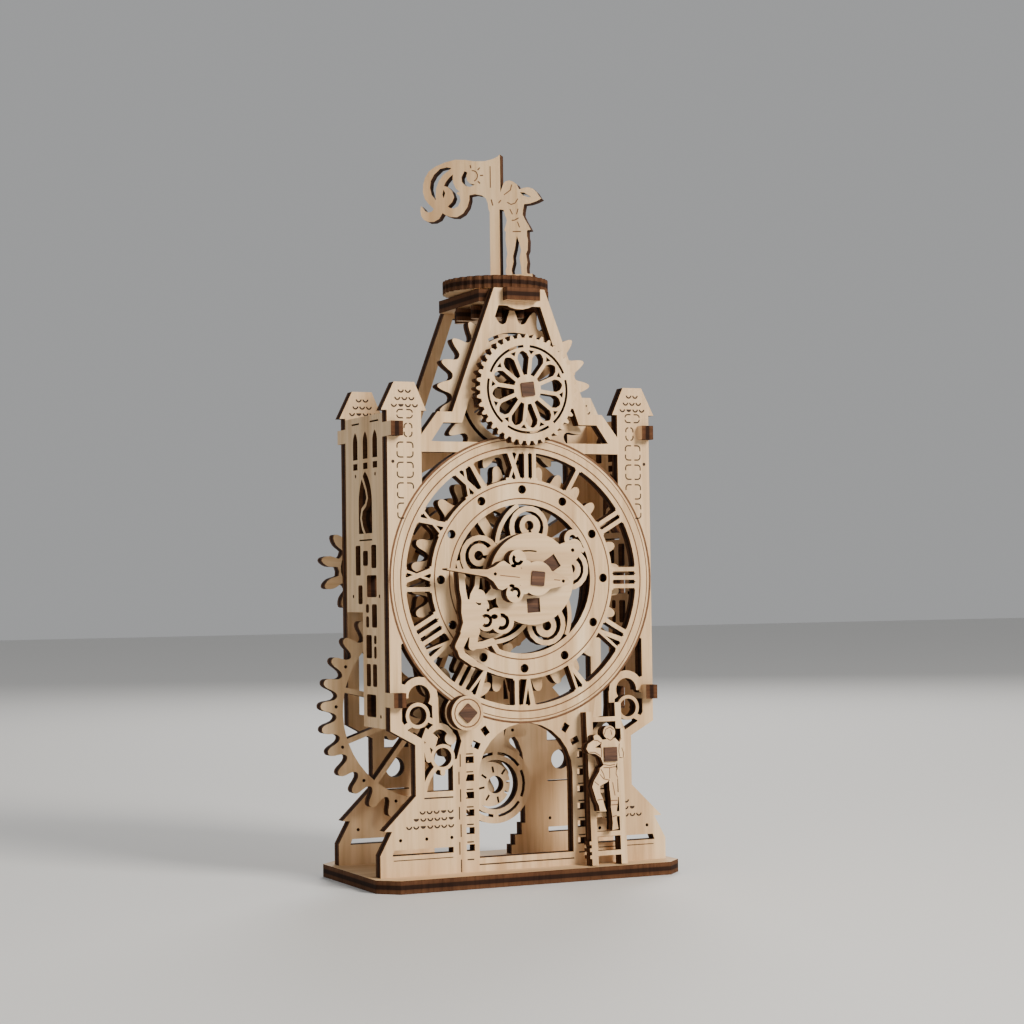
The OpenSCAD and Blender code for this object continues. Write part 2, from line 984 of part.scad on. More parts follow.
// The acrobat hanging at the edge of the hour disc.
module acrobat() {
    stroke([[-17.7, 1.4], [-17.4, -2.5], [-16.7, -6]], 1.5);
    stroke([[-13.6, 1.1], [-13.9, -1.7], [-15, -3.6], [-15.4, -6]], 1.15);
    translate([-13.3, -3.9])
        circle(1.55);
    stroke([[-14.6, -4.6], [-15.2, -6]], 1.3);
    polygon([[-17.7, -4.4], [-17.8, -7.6], [-17.4, -9.8], [-18.1, -11.9], [-17.6, -13.2],
        [-13.7, -13.2], [-13.2, -11.9], [-13.6, -10.3], [-13.1, -8.1], [-13.2, -6.2],
        [-14.5, -5.2], [-15.9, -4.6]]);
    stroke([[-17, -12.6], [-18.4, -15.2]], 2.1);
    stroke([[-18.4, -15.2], [-17.7, -17.2], [-14.8, -19.1]], 1.6);
    stroke([[-14.8, -19.1], [-12, -20.4]], 1.2);
    stroke([[-14.8, -13], [-15.1, -15.2]], 2.1);
    stroke([[-15.1, -15.2], [-12.6, -15], [-10.3, -14.3]], 1.6);
    stroke([[-10.3, -14.3], [-9, -16.3]], 1.2);
    stroke([[-12, -5], [-11, -6.2], [-10.4, -5.4]], 0.8);
}

module hour_scrolls() {
    difference() {
        union() {
            polygon([[-9.4, -1], [-12.6, -4.6], [-13.6, -8], [-12.6, -9.8], [-4, -9.6]]);
            translate([-11.6, -9.6])
                circle(2.3);
            translate([-7.6, -9.7])
                circle(2.9);
            stroke([[-14, -6.6], [-11, -6.9], [-8.4, -6.2]], 1.5);
        }
        translate([-11.7, -9.5])
            rotate(20)
                arc(1.55, 0.75, -150, 110);
        translate([-7.8, -9.8])
            rotate(-60)
                arc(1.95, 1, -60, 160);
        translate([-9.6, -8.6])
            scale([1, 0.7])
                circle(0.85, $fn = 16);
        translate([-11.2, -7.1])
            circle(0.4, $fn = 12);
        translate([-9.9, -5.7])
            rotate(12)
                star(1.7, 0.95, 4);
    }
}

module star(r, q, n) {
    polygon([for (i = [0:2 * n - 1])
        let (d = i % 2 == 0 ? r : q)
        [d * cos(180 / n * i + 45), d * sin(180 / n * i + 45)]]);
}

module hour_disc_2d() {
    difference() {
        union() {
            circle(10.65);
            polygon([[7, 7.8], [9.4, 8.6], [11.4, 9], [13, 7], [12.2, 5], [10.2, 3]]);
            translate([10.6, 9.2])
                arc(2.1, 0.9, 20, 235);
            translate([11, 7])
                circle(2.1);
            acrobat();
            hour_scrolls();
        }
        translate([10.6, 6.5])
            circle(0.45, $fn = 12);
        peg_places()
            square(peg_w, center = true);
        translate([-10, -5.7])
            rotate(12)
                star(1.7, 0.95, 4);
        translate([-0.8, -5.7])
            arc(12.3, 11.95, 80, 99);
    }
}

module hour_disc() {
    color(wood)
        difference() {
            upright(disc_y)
                translate([0, clock_z])
                    offset(delta = 0)
                        hour_disc_2d();
            bore(0, clock_z, bore_r, disc_y);
        }
}

// ---------------------------------------------------------------- upper

module upper_arbor() {
    color(burnt)
        arbor_bar(0, upper_z, rose_y - 0.4, rear_y + 0.6, 8);
}

module rose_2d() {
    difference() {
        union() {
            circle(12);
            for (i = [0:39])
                rotate(9 * i)
                    polygon([[11.6, -0.62], [12.4, -0.48], [12.95, -0.2],
                        [12.95, 0.2], [12.4, 0.48], [11.6, 0.62]]);
        }
        for (i = [0:4])
            rotate(72 * i + 20)
                arc(10.35, 9.75, 3, 66);
        for (i = [0:11])
            rotate(30 * i + 8)
                petal_window();
        square_hole(8);
    }
}

module rose_wheel() {
    color(wood)
        upright(rose_y)
            translate([0, upper_z])
                offset(delta = 0)
                    rose_2d();
}

// Gothic light: broad and round outside, narrow at the hub.
module petal_window() {
    polygon([[3.4, -0.45], [7.3, -1.5], [8.3, -1.15], [8.9, -0.4], [9.05, 0],
        [8.9, 0.4], [8.3, 1.15], [7.3, 1.5], [3.4, 0.45]]);
    rotate(15)
        polygon([[8.15, 0], [9.1, -0.75], [9.15, 0.75]]);
}

module pointed_wheel() {
    color(wood)
        upright(gear1_y)
            translate([0, upper_z])
                difference() {
                    gear(up_n, pointed_tooth, 2.0, up_ph);
                    for (i = [0:5])
                        rotate(60 * i + 62)
                            arc(14, 13.2, 3, 57);
                    for (i = [0:5])
                        rotate(60 * i + 32)
                            spoke_gap(60, 5.2, 11.6, 2);
                    square_hole(8);
                }
}

module upper_collar() {
    color(wood)
        upright(collar_y)
            collar_2d(0, upper_z, 4.2, 8);
}

// ---------------------------------------------------------------- platform

module platform_arbor() {
    h = disc_low + ply - crown_low + 0.2;
    color(burnt)
        translate([0, axis_y, crown_low - 0.2])
            intersection() {
                rotate([0, 0, -flag_turn])
                    translate([-arbor_w / 2, -arbor_w / 2, 0])
                        cube([arbor_w, arbor_w, h]);
                cylinder(h = h, r = arbor_r);
            }
}

module crown_pinion() {
    color(wood)
        translate([0, axis_y, crown_low])
            linear_extrude(ply)
                difference() {
                    gear(small_n, crown_tooth, 2.5, crown_ph);
                    square_hole(-flag_turn);
                }
}

module platform_disc() {
    color(wood)
        translate([0, axis_y, disc_low])
            linear_extrude(ply)
                rotate(-flag_turn)
                    difference() {
                        circle(platform_r);
                        for (i = [0:35])
                            rotate(10 * i)
                                translate([platform_r + 0.25, 0])
                                    circle(0.7, $fn = 12);
                        square_hole();
                        for (t = flag_tabs)
                            translate([t[0], -ply / 2])
                                square([t[1], ply]);
                    }
}

// Where the flag sheet's two tabs drop into the disc: start and length.
flag_tabs = [[-6.8, 3.6], [4, 4.4]];

// Flag, pole and lookout cut as one sheet; up is height above the disc's underside.
module flag_2d() {
    difference() {
        union() {
            polygon([[2, 33.4], [1.4, 32.9], [0.3, 32.4], [-1.7, 32], [-4.2, 32.1],
                [-6.7, 32.6], [-9.1, 32.8], [-11.6, 32.3], [-13.9, 31.5], [-15.7, 30.4],
                [-16.7, 28.9], [-17.2, 27.2], [-17.3, 25.5], [-16.8, 23.7], [-15.8, 22.4],
                [-14.6, 21.2], [-15.1, 20.6], [-15.9, 20.4], [-16.8, 20.8], [-17.3, 21.6],
                [-17.8, 22.1], [-18, 20.9], [-17.8, 19.7], [-17.1, 18.7], [-16, 18.1],
                [-14.6, 18.1], [-13.3, 18.7], [-12.8, 19.5], [-12.4, 20.1], [-11.6, 19.5],
                [-10.3, 19], [-8.8, 18.9], [-7.3, 19.7], [-6.2, 21.2], [-5.7, 22.9],
                [-5.7, 24], [-4.3, 24.2], [-2.6, 23.8], [-1.6, 23], [-1.2, 21.9],
                [-1, 20.4], [-0.7, 19.7], [-0.7, ply], [1.7, ply], [1.7, 20.3], [2, 24.3]]);
            lookout_2d();
            translate([-7.4, ply])
                square([17, 1.4]);
            for (t = flag_tabs)
                translate([t[0], 0])
                    square([t[1], ply + 0.2]);
        }
        flag_cuts();
    }
}

module flag_cuts() {
    // Long swirl, the curl inside it, its eye, the moon and the gap at the arm.
    polygon([[-10, 30.8], [-11.2, 31.1], [-12.9, 30.8], [-14.4, 29.5], [-15.3, 28],
        [-15.5, 26.3], [-15.1, 24.6], [-14, 23.2], [-14.1, 24.1], [-14, 26],
        [-13.3, 27.8], [-12.2, 29.3]]);
    polygon([[-9.7, 29.3], [-10.7, 28.5], [-11.5, 27.6], [-12, 26.6], [-11, 26.3],
        [-10, 25.3], [-9.5, 23.8], [-10, 22.6], [-11.1, 21.6], [-10.5, 21.2],
        [-9.6, 21], [-8.5, 21.5], [-7.9, 22.8], [-8.1, 24], [-8.9, 24.6], [-8.6, 25],
        [-8, 24.9], [-9, 25.8], [-9.6, 27.1], [-9.8, 28.2]]);
    polygon([[-12.1, 25.8], [-11.7, 24.9], [-12.1, 23.6], [-12.4, 24.5]]);
    polygon([[-6.8, 29.9], [-7.6, 28.5], [-7.5, 27.3], [-6.6, 26.3], [-5.5, 26],
        [-4.3, 26.5], [-5.5, 26.8], [-6.2, 27.6], [-6.4, 28.7], [-6.1, 29.5]]);
    polygon([[6.8, 24], [7.8, 23.9], [9.5, 22.8], [8.8, 22.7], [7.6, 23.2]]);
}

module lookout_2d() {
    polygon([[2, 24.3], [2.8, 26.4], [3.4, 26.9], [4.2, 27], [5.1, 26.7], [6.1, 25.9],
        [6.6, 24.7], [7.6, 25], [8.8, 25.1], [10, 24.7], [10.9, 23.8], [11.5, 22.8],
        [12, 22.2], [10.7, 21.6], [9.2, 21.2], [7.8, 21.1], [7.5, 19.7], [7.4, 18.6],
        [8, 17.3], [8.7, 16.1], [9.3, 14.9], [8.4, 14.8], [8.4, 13.4], [8.6, 12.5],
        [8.5, 10.1], [8.1, 9.2], [8.4, 7.2], [8.2, 5.8], [8.3, 4.6], [9.4, 3.4],
        [9.4, ply], [7, ply], [7, 3.8], [6.9, 5.1], [6.8, 6.4], [6.5, 8.3], [6.9, 10.2],
        [6.4, 12.1], [5.9, 13.6], [5.4, 10.7], [4.9, 8.8], [5, 7.4], [4.5, 5.5],
        [4.8, 3.9], [4.8, ply], [3.2, ply], [3.2, 4.1], [3, 5.3], [3.3, 6.5], [3.2, 8],
        [3.5, 9.4], [3.4, 10.4], [3.1, 12.8], [3.2, 14.7], [2.8, 15.2], [3.3, 16.6],
        [3.5, 17.5], [3.1, 18.8], [2.7, 20], [1.2, 20.3], [1.2, 24.3]]);
}

module flag_and_lookout() {
    color(wood)
        translate([0, axis_y, disc_low])
            rotate([0, 0, -flag_turn])
                upright(-ply / 2)
                    offset(delta = 0)
                        flag_2d();
}

// ---------------------------------------------------------------- rear and pendulum

module rear_axle() {
    color(burnt)
        translate([rear_x, rear_in, rear_z])
            rotate([-90, 0, 0])
                cylinder(h = gear3_y + 2 * ply + play + 0.3 - rear_in, r = arbor_r);
}

module rear_gear() {
    color(wood)
        difference() {
            upright(gear3_y)
                translate([rear_x, rear_z])
                    difference() {
                        gear(small_n, petal_tooth, 2.4, gear5_ph);
                        for (i = [0:4])
                            rotate(72 * i + 24.8 - 26)
                                arc(5.7, 5.2, 6, 60);
                    }
            bore(rear_x, rear_z, bore_r, gear3_y);
        }
}

module rear_cap() {
    color(wood)
        difference() {
            upright(gear3_y + ply + play)
                translate([rear_x, rear_z])
                    circle(3.9);
            bore(rear_x, rear_z, arbor_r, gear3_y + ply + play);
        }
}

module pendulum() {
    color(wood)
        difference() {
            upright(pend_y)
                translate([0, clock_z])
                    pendulum_2d();
            bore(0, clock_z, arbor_r + 0.15, pend_y);
        }
}

module pendulum_2d() {
    difference() {
        union() {
            circle(4.6);
            translate([-2.4, -bob_drop + bob_r - 1])
                square([4.8, bob_drop - bob_r]);
            translate([0, -bob_drop])
                circle(bob_r);
        }
        translate([0, -bob_drop])
            bob_cuts();
    }
}

module bob_cuts() {
    for (i = [0:5])
        rotate(60 * i + 30)
            arc(7.8, 7.1, 5, 55);
    circle(2.1);
    for (i = [0:7])
        rotate(45 * i + 10)
            translate([2.9, -0.25])
                square([1.5, 0.5]);
    difference() {
        circle(5.9);
        translate([-1.5, 0.2])
            circle(5.3);
    }
}

// ---------------------------------------------------------------- build

base_plate();
front_frame();
rear_frame();
left_wall();
right_wall();
roof_bridge();
ladder();
climber();
climber_peg();
drive_arbor();
winding_knob();
drive_pinion();
drive_wheel();
drive_collar();
minute_arbor();
minute_hand();
minute_pinion();
minute_collar();
minute_stops();
rear_wheel();
hour_wheel();
hour_pegs();
hour_disc();
upper_arbor();
rose_wheel();
pointed_wheel();
upper_collar();
platform_arbor();
crown_pinion();
platform_disc();
flag_and_lookout();
rear_axle();
rear_gear();
rear_cap();
pendulum();
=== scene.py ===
import bmesh
import bpy
import math
from mathutils import Matrix, Vector


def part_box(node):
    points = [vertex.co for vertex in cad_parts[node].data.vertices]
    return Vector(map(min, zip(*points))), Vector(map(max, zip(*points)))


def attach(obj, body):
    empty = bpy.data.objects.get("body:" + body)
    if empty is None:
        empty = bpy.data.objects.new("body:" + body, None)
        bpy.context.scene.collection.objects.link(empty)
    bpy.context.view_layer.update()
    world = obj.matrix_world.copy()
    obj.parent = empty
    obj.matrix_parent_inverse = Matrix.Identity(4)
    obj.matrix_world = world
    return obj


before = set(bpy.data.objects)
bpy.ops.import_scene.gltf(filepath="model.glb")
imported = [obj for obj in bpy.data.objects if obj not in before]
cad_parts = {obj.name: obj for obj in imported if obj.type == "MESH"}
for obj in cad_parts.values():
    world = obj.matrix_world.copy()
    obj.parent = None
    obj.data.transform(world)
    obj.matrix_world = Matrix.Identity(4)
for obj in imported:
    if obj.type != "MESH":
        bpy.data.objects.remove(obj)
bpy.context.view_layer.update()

# ---- Camera -------------------------------------------------------------
# A long lens low down on the left of the dial, looking slightly up, and
# turned a little about its own axis.
EYE = (-0.2176, -0.4821, 0.0674)
LENS = 77.83
FILM = 36
view = bpy.data.objects.new("view", bpy.data.cameras.new("view"))
bpy.context.scene.collection.objects.link(view)
yaw, tilt, lean = math.radians(24.71), math.radians(2.02), -0.01408
ahead = Vector((math.sin(yaw), math.cos(yaw), 0))
right = Vector((math.cos(yaw), -math.sin(yaw), 0))
up = -math.sin(tilt) * ahead + math.cos(tilt) * Vector((0, 0, 1))
ahead = math.cos(tilt) * ahead + math.sin(tilt) * Vector((0, 0, 1))
level_right = math.cos(lean) * right + math.sin(lean) * up
level_up = -math.sin(lean) * right + math.cos(lean) * up
turned = Matrix((level_right, level_up, -ahead)).transposed().to_4x4()
view.matrix_world = Matrix.Translation(EYE) @ turned
view.data.sensor_width = FILM
view.data.lens = LENS
view.data.clip_start = 0.01
bpy.context.scene.camera = view

# ---- Birch sheets -------------------------------------------------------
# Every sheet is 3 mm birch plywood, cut by laser: pale sanded faces with a
# fine grain, and cut edges scorched brown, the middle ply darkest.
PLY = 0.003
MM = 0.001


def wire(tree, a, out, b, into):
    tree.links.new(a.outputs[out], b.inputs[into])


def ramp(tree, stops):
    node = tree.nodes.new("ShaderNodeValToRGB")
    band = node.color_ramp
    while len(band.elements) < len(stops):
        band.elements.new(0.5)
    for element, (place, colour) in zip(band.elements, stops):
        element.position = place
        element.color = (*colour, 1)
    return node


def wood_base(name, rough):
    mat = bpy.data.materials.new(name)
    mat.use_nodes = True
    tree = mat.node_tree
    shader = tree.nodes["Principled BSDF"]
    shader.inputs["Roughness"].default_value = rough
    shader.inputs["Specular IOR Level"].default_value = 0.28
    coords = tree.nodes.new("ShaderNodeTexCoord")
    return mat, tree, shader, coords


def mapped(tree, coords, scale, place=(0, 0, 0)):
    node = tree.nodes.new("ShaderNodeMapping")
    node.inputs["Scale"].default_value = scale
    node.inputs["Location"].default_value = place
    wire(tree, coords, "Object", node, "Vector")
    return node


def noise(tree, vec, scale, detail=3.0, rough=0.55, warp=0.0):
    node = tree.nodes.new("ShaderNodeTexNoise")
    node.inputs["Scale"].default_value = scale
    node.inputs["Detail"].default_value = detail
    node.inputs["Roughness"].default_value = rough
    node.inputs["Distortion"].default_value = warp
    wire(tree, vec, "Vector", node, "Vector")
    return node


def blend(tree, kind, factor, a, b):
    node = tree.nodes.new("ShaderNodeMix")
    node.data_type = "RGBA"
    node.blend_type = kind
    node.inputs["Factor"].default_value = factor
    tree.links.new(a, node.inputs[6])
    tree.links.new(b, node.inputs[7])
    return node.outputs[2]


def bumped(tree, shader, height, strength, depth=0.00006):
    node = tree.nodes.new("ShaderNodeBump")
    node.inputs["Strength"].default_value = strength
    node.inputs["Distance"].default_value = depth
    tree.links.new(height, node.inputs["Height"])
    wire(tree, node, "Normal", shader, "Normal")


# Grain runs along one axis of the sheet: short fibres, soft figure, flecks.
def birch_face(name, stretch, seed):
    mat, tree, shader, coords = wood_base(name, 0.62)
    shift = (seed * 0.37, seed * 0.61, seed * 0.23)
    fibres = noise(tree, mapped(tree, coords, stretch, shift), 900, 5, 0.65)
    figure = noise(tree, mapped(tree, coords, stretch, shift), 120, 3, 0.5, 1.4)
    patches = noise(tree, mapped(tree, coords, (1, 1, 1), shift), 38, 2, 0.5)
    tint = ramp(tree, [(0.3, (0.59, 0.375, 0.195)), (0.5, (0.74, 0.505, 0.285)),
                       (0.72, (0.83, 0.605, 0.365))])
    wire(tree, figure, "Fac", tint, "Fac")
    lines = ramp(tree, [(0.32, (0.80, 0.74, 0.66)), (0.5, (0.95, 0.94, 0.92)),
                        (0.62, (1, 1, 1))])
    wire(tree, fibres, "Fac", lines, "Fac")
    clouds = ramp(tree, [(0.3, (0.90, 0.87, 0.83)), (0.65, (1, 1, 1))])
    wire(tree, patches, "Fac", clouds, "Fac")
    colour = blend(tree, "MULTIPLY", 0.75, tint.outputs[0], lines.outputs[0])
    colour = blend(tree, "MULTIPLY", 0.8, colour, clouds.outputs[0])
    tree.links.new(colour, shader.inputs["Base Color"])
    bumped(tree, shader, fibres.outputs["Fac"], 0.35)
    return mat


# The cut edge: three plies seen side on, scorched, streaked by the beam.
def scorched_edge(name, axis, start, seed):
    mat, tree, shader, coords = wood_base(name, 0.8)
    shader.inputs["Specular IOR Level"].default_value = 0.12
    split = tree.nodes.new("ShaderNodeSeparateXYZ")
    wire(tree, coords, "Object", split, "Vector")
    depth = tree.nodes.new("ShaderNodeMapRange")
    depth.inputs["From Min"].default_value = start
    depth.inputs["From Max"].default_value = start + PLY
    wire(tree, split, "XYZ"[axis], depth, "Value")
    plies = ramp(tree, [(0.0, (0.060, 0.025, 0.011)), (0.07, (0.120, 0.052, 0.023)),
                        (0.31, (0.095, 0.040, 0.017)), (0.36, (0.026, 0.011, 0.006)),
                        (0.64, (0.028, 0.012, 0.006)), (0.69, (0.100, 0.043, 0.019)),
                        (0.93, (0.125, 0.055, 0.025)), (1.0, (0.062, 0.026, 0.012))])
    wire(tree, depth, "Result", plies, "Fac")
    squash = [1.0, 1.0, 1.0]
    squash[axis] = 0.12
    streaks = noise(tree, mapped(tree, coords, squash, (seed, 0, 0)), 1500, 3, 0.6)
    shade = ramp(tree, [(0.3, (0.55, 0.5, 0.46)), (0.55, (0.95, 0.92, 0.9)),
                        (0.75, (1, 1, 1))])
    wire(tree, streaks, "Fac", shade, "Fac")
    soot = noise(tree, mapped(tree, coords, (1, 1, 1), (0, seed, 0)), 160, 2, 0.5)
    dark = ramp(tree, [(0.35, (0.62, 0.56, 0.52)), (0.65, (1, 1, 1))])
    wire(tree, soot, "Fac", dark, "Fac")
    colour = blend(tree, "MULTIPLY", 0.85, plies.outputs[0], shade.outputs[0])
    colour = blend(tree, "MULTIPLY", 0.7, colour, dark.outputs[0])
    tree.links.new(colour, shader.inputs["Base Color"])
    bumped(tree, shader, streaks.outputs["Fac"], 0.4)
    return mat


# Which way a sheet lies: its thin axis, and the axis its grain runs along.
def dress(node, thin, grain, start=None, normal=None):
    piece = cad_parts[node]
    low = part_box(node)[0]
    stretch = [1.0, 1.0, 1.0]
    stretch[grain] = 0.055
    seed = sum(ord(c) for c in node) % 17
    first = low[thin] if start is None else start
    piece.data.materials.clear()
    piece.data.materials.append(birch_face("birch_" + node, stretch, seed))
    piece.data.materials.append(scorched_edge("scorch_" + node, thin, first, seed))
    facing = Vector((0, 0, 0))
    facing[thin] = 1
    if normal:
        facing = Vector(normal)
    for face in piece.data.polygons:
        flat = abs(face.normal.dot(facing)) > 0.8
        face.material_index = 0 if flat else 1


dress("base_plate", 2, 0)
for sheet in ("front_frame", "rear_frame"):
    dress(sheet, 1, 2)
for sheet in ("left_wall", "right_wall"):
    dress(sheet, 0, 2)
dress("roof_bridge", 2, 0)
dress("platform_disc", 2, 0)
dress("crown_pinion", 2, 0)

# ---- Wheels, hands and collars -----------------------------------------
# The moving sheets are cut from the same plywood, each with its own grain.
for sheet, grain in (("winding_knob", 2), ("drive_pinion", 0), ("drive_wheel", 2),
                     ("drive_collar", 0), ("minute_hand", 0), ("minute_pinion", 2),
                     ("minute_collar", 0), ("rear_wheel", 2), ("hour_wheel", 2),
                     ("hour_disc", 0), ("rose_wheel", 2), ("pointed_wheel", 2),
                     ("upper_collar", 0), ("rear_gear", 0), ("rear_cap", 2),
                     ("pendulum", 2)):
    dress(sheet, 1, grain)
dress("minute_stops", 1, 0)

# ---- Ladder, climber and flag ------------------------------------------
# The ladder and its climber lean back on the dial frame, and the flag stands
# turned on the platform, so their faces are told by the way they look, and
# the plies of their edges by the place each sheet starts at.
LADDER_START = -18.5 * MM
CLIMBER_START = -21.8 * MM
FLAG_START = -2.9 * MM
lean_back = math.radians(3.7)
leaning = (0, math.cos(lean_back), -math.sin(lean_back))
dress("ladder", 1, 2, LADDER_START, leaning)
dress("climber", 1, 2, CLIMBER_START, leaning)
flag_turn = math.radians(39)
dress("flag_and_lookout", 1, 2, FLAG_START,
      (math.sin(flag_turn), math.cos(flag_turn), 0))


# ---- Arbors and pegs ----------------------------------------------------
# Square sticks and pegs are scorched all round, and show reddish end grain.
def burnt_stick(name, axis):
    mat, tree, shader, coords = wood_base(name, 0.68)
    squash = [1.0, 1.0, 1.0]
    squash[axis] = 0.08
    streaks = noise(tree, mapped(tree, coords, squash), 1100, 4, 0.6)
    tone = ramp(tree, [(0.3, (0.022, 0.010, 0.006)), (0.5, (0.075, 0.032, 0.016)),
                       (0.7, (0.150, 0.068, 0.033))])
    wire(tree, streaks, "Fac", tone, "Fac")
    wire(tree, tone, "Color", shader, "Base Color")
    bumped(tree, shader, streaks.outputs["Fac"], 0.5)
    return mat


along_y = burnt_stick("burnt_stick_deep", 1)
along_z = burnt_stick("burnt_stick_upright", 2)
end_grain = burnt_stick("burnt_end_grain", 0)
for stick in ("drive_arbor", "minute_arbor", "upper_arbor", "hour_pegs", "climber_peg",
              "rear_axle", "platform_arbor"):
    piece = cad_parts[stick]
    upright = stick == "platform_arbor"
    piece.data.materials.clear()
    piece.data.materials.append(along_z if upright else along_y)
    piece.data.materials.append(end_grain)
    for face in piece.data.polygons:
        end = abs(face.normal[2 if upright else 1]) > 0.9
        face.material_index = 1 if end else 0

# ---- Scored lines of the dial ------------------------------------------
# Fine lines that the laser only scores, brown, and about a quarter of a
# millimetre wide unless a line says otherwise.
SCORE = 0.24 * MM
LIFT = 0.02 * MM
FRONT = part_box("front_frame")[0][1]
DIAL_Z = 70
DIAL = Vector((0, 0, DIAL_Z * MM))


def score_brown(name, tone):
    mat, tree, shader, coords = wood_base(name, 0.8)
    grime = noise(tree, mapped(tree, coords, (1, 1, 1)), 900, 2)
    tint = ramp(tree, [(0.3, tuple(0.6 * v for v in tone)), (0.7, tone)])
    wire(tree, grime, "Fac", tint, "Fac")
    wire(tree, tint, "Color", shader, "Base Color")
    return mat


scored = score_brown("scored_line", (0.17, 0.078, 0.035))
# Narrow cuts get a near-black brown: the scorched kerf plus painted shade in the gap.
cut_char_and_shade = score_brown("narrow_cut_char_and_shade", (0.045, 0.024, 0.014))


def new_piece(name, mesh, body, mat):
    data = bpy.data.meshes.new(name)
    bmesh.ops.recalc_face_normals(mesh, faces=mesh.faces)
    mesh.to_mesh(data)
    mesh.free()
    data.materials.append(mat)
    piece = bpy.data.objects.new(name, data)
    bpy.context.scene.collection.objects.link(piece)
    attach(piece, body)
    return piece


# Upright frame of reference: local x across, local y up, local z to the front.
def facing_front(centre, y, turn=0.0):
    return (Matrix.Translation((centre[0], y, centre[1]))
            @ Matrix.Rotation(math.radians(90), 4, "X") @ Matrix.Rotation(turn, 4, "Z"))


def facing_back(centre, y, turn=0.0):
    return (Matrix.Translation((centre[0], y, centre[1]))
            @ Matrix.Rotation(math.radians(180), 4, "Z")
            @ Matrix.Rotation(math.radians(90), 4, "X") @ Matrix.Rotation(turn, 4, "Z"))


def raise_faces(mesh, faces, place):
    grown = bmesh.ops.extrude_face_region(mesh, geom=faces)
    points = [g for g in grown["geom"] if isinstance(g, bmesh.types.BMVert)]
    step = place.to_3x3() @ Vector((0, 0, LIFT))
    bmesh.ops.translate(mesh, verts=points, vec=step)


def score_bar(mesh, place, length, width=SCORE):
    size = Matrix.Diagonal((length / 2, width / 2, 1, 1))
    made = bmesh.ops.create_grid(mesh, x_segments=1, y_segments=1, size=1,
                                 matrix=place @ size)
    raise_faces(mesh, list({f for v in made["verts"] for f in v.link_faces}), place)


# A ring, or part of one, swept from a single short edge.
def score_arc(mesh, place, radius, start=0.0, sweep=360.0, width=SCORE, steps=None):
    whole = sweep > 359
    degrees_a_step = 4 if radius > 6 * MM else 20
    steps = steps or max(4, int(abs(sweep) / degrees_a_step))
    a = mesh.verts.new(place @ Matrix.Rotation(math.radians(start), 4, "Z")
                       @ Vector((radius - width / 2, 0, 0)))
    b = mesh.verts.new(place @ Matrix.Rotation(math.radians(start), 4, "Z")
                       @ Vector((radius + width / 2, 0, 0)))
    edge = mesh.edges.new((a, b))
    before = set(mesh.faces)
    bmesh.ops.spin(mesh, geom=[a, b, edge], cent=place.translation,
                   axis=place.to_3x3() @ Vector((0, 0, 1)),
                   angle=math.radians(sweep), steps=steps, use_merge=whole)
    raise_faces(mesh, [f for f in mesh.faces if f not in before], place)


dial_lines = bmesh.new()
dial_seat = facing_front((DIAL.x, DIAL.z), FRONT)
for radius, line in ((33.3, 0.5), (32.5, 0.22), (30.7, 0.32), (22.4, 0.3), (18.7, 0.3)):
    score_arc(dial_lines, dial_seat, radius * MM, 0, 360, line * MM)
new_piece("dial_scored_lines", dial_lines, "tower", scored)

# ---- Bricks, roof scales and dashes of the frames ----------------------
# Corner bricks, arch dashes and shingle scales are narrow laser cuts, drawn
# as dark strips; a few of the scales are filled. The strips' near-black tone
# is the scorched walls of the cut together with painted shade inside the slot.
TOWER_X = 29.25 * MM
ROOF_ROWS = ((113.4, 2), (111.7, 3), (110.1, 4))
FOOT_ROWS = ((17.5, 5, 22.6), (15.9, 6, 23.3), (14.2, 7, 24.2))
BRICK_HEIGHTS = (99.7, 95.1, 90.4, 85.8)
ARCH_TICKS = [5.9 + 4 * i for i in range(6)] + [30]
ARCH_DASHES = [4.6 + 4 * i for i in range(7)]
DIAL_RIM = 33.9 * MM


# A brick is four rounded corners joined by short strokes. A corner that would
# fall on the dial's rim is left out.
def brick(mesh, seat, x, z, w, h, side):
    corner, gap, line = 0.7 * MM, 0.8 * MM, 0.32 * MM
    across = (w - gap) / 2 - corner
    up_side = (h - gap) / 2 - corner
    for sx, sz, start in ((1, 1, 0), (-1, 1, 90), (-1, -1, 180), (1, -1, 270)):
        if math.hypot(x + sx * w / 2, z + sz * h / 2 - DIAL.z) < DIAL_RIM:
            continue
        bend = (x + sx * (w / 2 - corner), z + sz * (h / 2 - corner))
        score_arc(mesh, seat(bend, side), corner, start, 90, line)
        if across > 0.1 * MM:
            run = (bend[0] - sx * across / 2, z + sz * h / 2)
            score_bar(mesh, seat(run, side), across, line)
        if up_side > 0.1 * MM:
            run = (x + sx * w / 2, bend[1] - sz * up_side / 2)
            score_bar(mesh, seat(run, side, math.pi / 2), up_side, line)


def scale_row(mesh, seat, x, z, count, side, pitch=1.72 * MM):
    for i in range(count):
        spot = (x + (i - (count - 1) / 2) * pitch, z)
        if (i * 2 + count) % 5 == 1:
            score_arc(mesh, seat(spot, side), 0.34 * MM, 180, 180, 0.66 * MM)
        else:
            score_arc(mesh, seat(spot, side), 0.58 * MM, 180, 180, 0.38 * MM)


